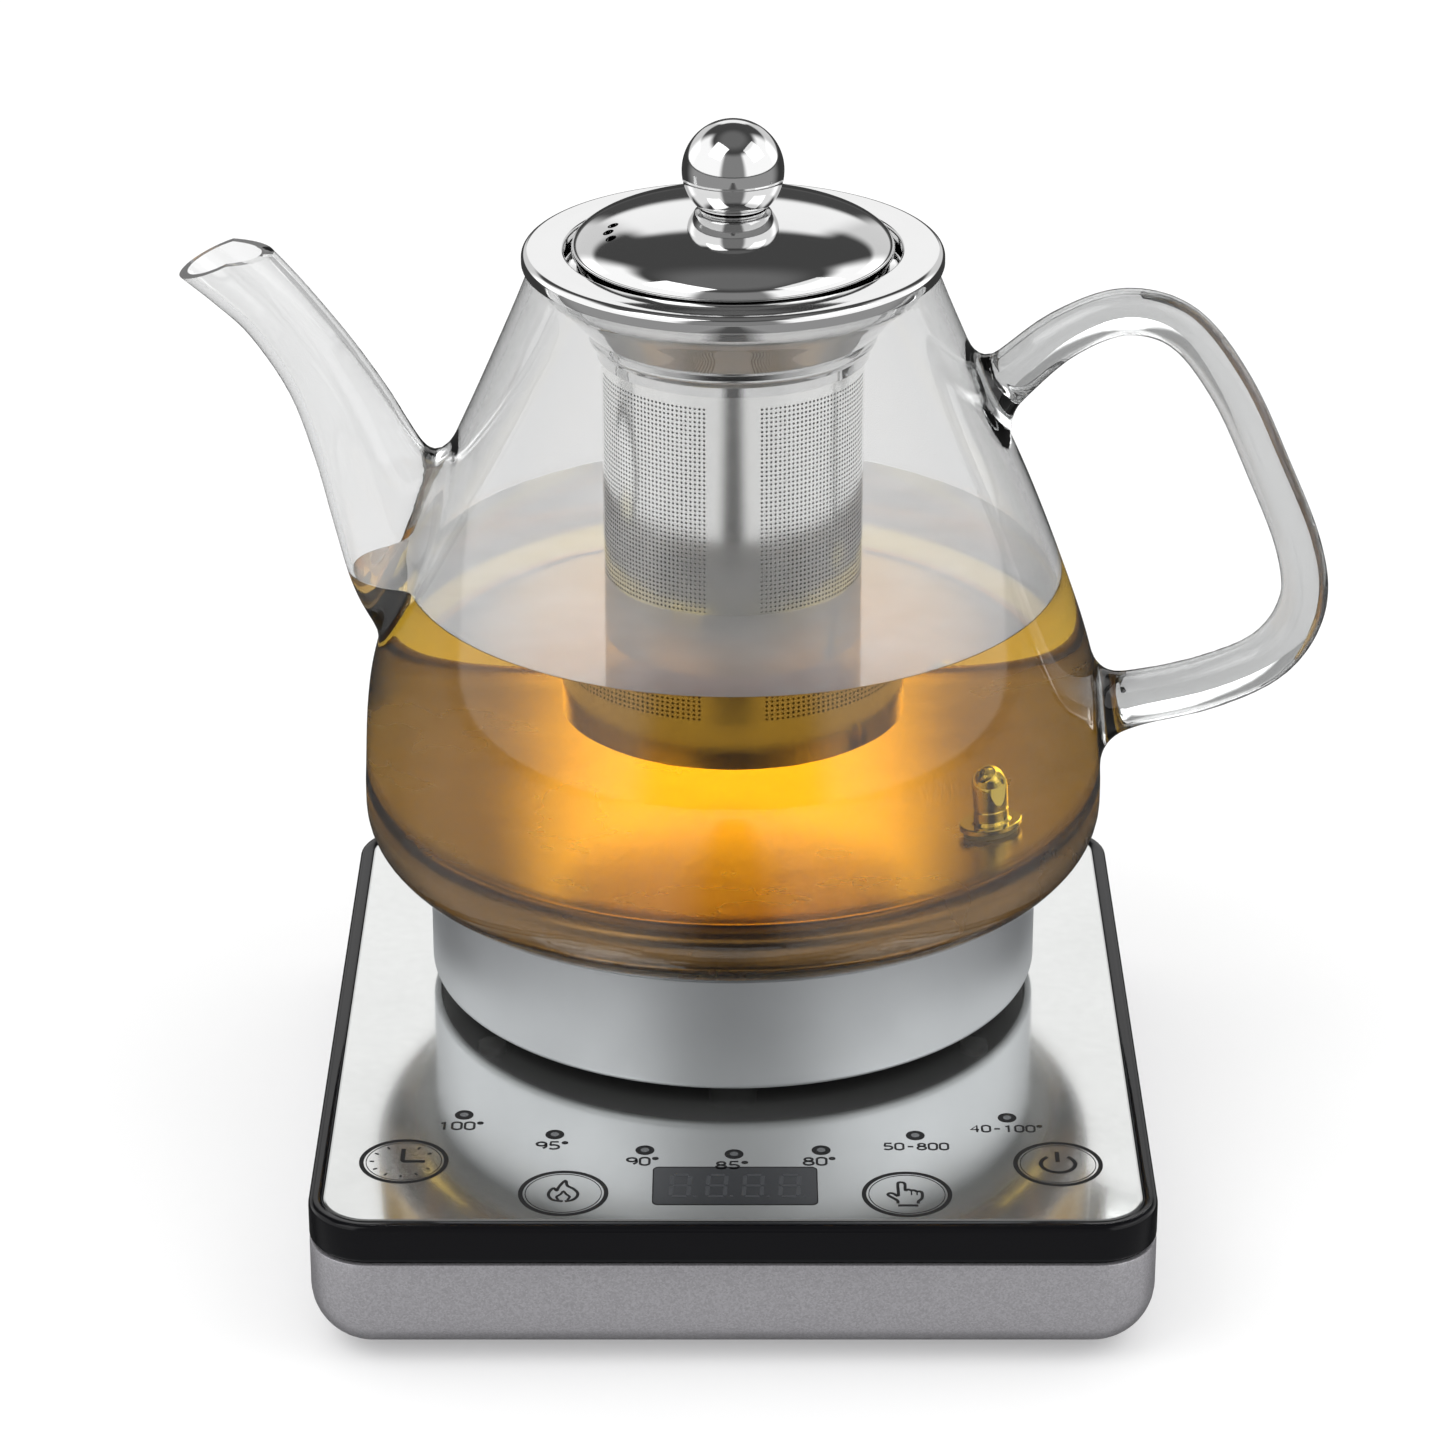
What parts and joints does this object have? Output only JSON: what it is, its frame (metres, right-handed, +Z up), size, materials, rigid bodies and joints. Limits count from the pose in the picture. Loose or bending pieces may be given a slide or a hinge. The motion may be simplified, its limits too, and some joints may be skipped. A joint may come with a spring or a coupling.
{
  "type": "electric glass tea kettle",
  "caption": "Clear glass tea kettle with curved spout, loop handle, steel infuser and domed lid, on a rectangular touch-control heating base.",
  "frame": {"origin": "on the kettle's turning axis, on the underside of the base's middle foot, at table level", "axes": "+Z up along the turning axis, +X towards the handle, -X towards the spout, -Y towards the control panel's front edge"},
  "size_m": [0.235, 0.1892, 0.22],
  "materials": {
    "silver_paint": "satin metallic paint on moulded plastic",
    "black_gloss": "high gloss black",
    "panel_glass": "tempered glass, silvered on its back",
    "black_rubber": "matt",
    "plated_screw": "zinc plated",
    "circuit_board": "green solder mask",
    "display_black": "smoked black window with unlit seven-segment digits",
    "lamp_lens": "unlit smoked lamps",
    "spring_copper": "bright copper wire",
    "black_case": "fine moulded",
    "winding_tape": "yellow winding tape and black ferrite",
    "fuse_glass": "ceramic tube with plated caps",
    "raw_aluminium": "as cast and as extruded",
    "coupler_plastic": "fine moulded heat resistant nylon",
    "contact_brass": "bright",
    "skirt_metal": "satin, with faint grain along its turning",
    "clear_glass": "clear borosilicate, fire polished",
    "plate_steel": "polished stainless steel with fine turning marks",
    "clear_silicone": "translucent silicone",
    "element_steel": "heat darkened sheath",
    "polished_steel": "mirror polished stainless steel",
    "basket_steel": "etched fine mesh and plain steel",
    "tea": "clear amber tea",
    "panel_print": "dark print under the glass"
  },
  "bodies": {
    "base": {"base_shell": "silver_paint", "base_frame": "black_gloss", "glass_panel": "panel_glass", "rubber_feet": "black_rubber", "base_screws": "plated_screw", "control_board": "circuit_board", "display_module": "display_black", "indicator_leds": "lamp_lens", "touch_springs": "spring_copper", "board_screws": "plated_screw", "buzzer": "black_case", "power_board": "circuit_board", "transformer": "winding_tape", "relay": "black_case", "filter_capacitor": "black_case", "mains_fuse": "fuse_glass", "triac_heatsink": "raw_aluminium", "terminal_block": "black_case", "cord_gland": "black_rubber", "base_coupler": "coupler_plastic", "base_contacts": "contact_brass", "coupler_screws": "plated_screw"},
    "collar": {"coupler_collar": "coupler_plastic"},
    "kettle": {"kettle_skirt": "skirt_metal", "bottom_cover": "coupler_plastic", "cover_screws": "plated_screw", "kettle_feet": "black_rubber", "kettle_coupler": "coupler_plastic", "kettle_contacts": "contact_brass", "glass_body": "clear_glass", "glass_spout": "clear_glass", "glass_handle": "clear_glass", "heating_plate": "plate_steel", "plate_seal": "clear_silicone", "heat_spreader": "raw_aluminium", "heating_element": "element_steel", "thermal_cutout": "element_steel", "temperature_probe": "plate_steel", "probe_gasket": "clear_silicone", "probe_nut": "element_steel"},
    "infuser": {"infuser_rim": "polished_steel", "infuser_wall": "basket_steel", "infuser_base": "basket_steel"},
    "lid": {"lid_dome": "polished_steel", "lid_inner_ring": "polished_steel", "knob_collar": "polished_steel", "knob_ball": "polished_steel", "knob_screw": "plated_screw"}
  },
  "joints": [
    {"name": "kettle_turn", "type": "hinge", "parent": "base", "child": "collar", "pos_m": [0, 0, 0.0365], "axis": [0, 0, 1], "continuous": true},
    {"name": "kettle_lift", "type": "slide", "parent": "collar", "child": "kettle", "axis": [0, 0, 1], "range_m": [0, 0.05]},
    {"name": "infuser_lift", "type": "slide", "parent": "kettle", "child": "infuser", "axis": [0, 0, 1], "range_m": [0, 0.11]},
    {"name": "lid_lift", "type": "slide", "parent": "infuser", "child": "lid", "axis": [0, 0, 1], "range_m": [0, 0.04]}
  ]
}
